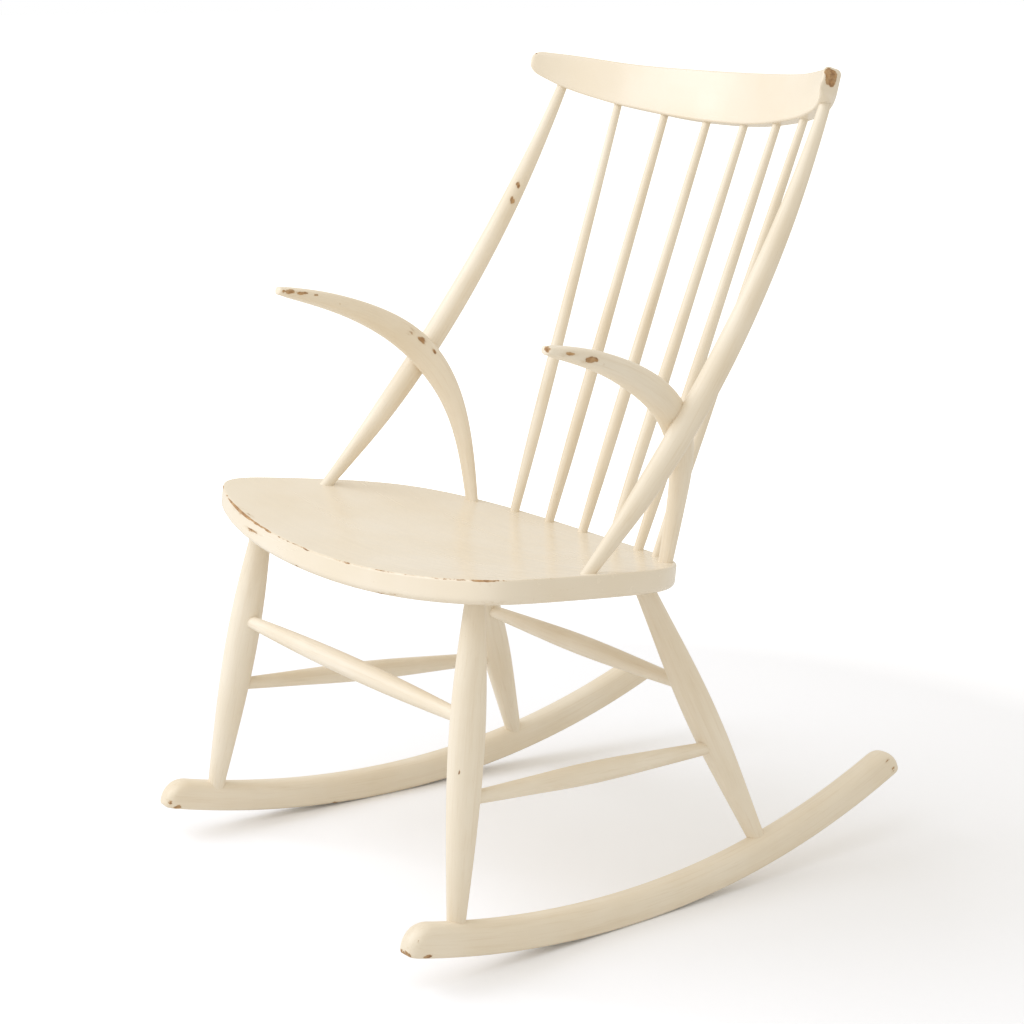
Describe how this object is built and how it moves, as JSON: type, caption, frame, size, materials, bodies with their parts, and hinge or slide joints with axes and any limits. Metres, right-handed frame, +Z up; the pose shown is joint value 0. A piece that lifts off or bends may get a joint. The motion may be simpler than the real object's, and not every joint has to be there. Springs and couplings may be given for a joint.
{
  "type": "rocking chair",
  "caption": "Painted wooden rocking chair: bent board seat, raked turned legs on curved rockers, a spindle back under a curved crest rail, and arms that sweep down past the back posts.",
  "frame": {"origin": "middle of the bounding box's footprint, on the floor that the rockers rest on", "axes": "+Z up, -Y the way the sitter faces, +X to the sitter's left"},
  "size_m": [0.566, 0.693, 0.8846],
  "materials": {
    "painted_board": "satin cream paint over bent board, worn at the edges",
    "painted_stick": "satin cream paint over turned and bent sticks, worn at the edges"
  },
  "bodies": {
    "root": {"seat": "painted_board", "crest_rail": "painted_board", "rocker_left": "painted_stick", "rocker_right": "painted_stick", "front_leg_left": "painted_stick", "front_leg_right": "painted_stick", "back_leg_left": "painted_stick", "back_leg_right": "painted_stick", "side_stretcher_left": "painted_stick", "side_stretcher_right": "painted_stick", "front_stretcher": "painted_stick", "back_stretcher": "painted_stick", "back_post_left": "painted_stick", "back_post_right": "painted_stick", "arm_left": "painted_stick", "arm_right": "painted_stick", "back_spindle_1_left": "painted_stick", "back_spindle_1_right": "painted_stick", "back_spindle_2_left": "painted_stick", "back_spindle_2_right": "painted_stick", "back_spindle_3_left": "painted_stick", "back_spindle_3_right": "painted_stick"}
  },
  "joints": []
}
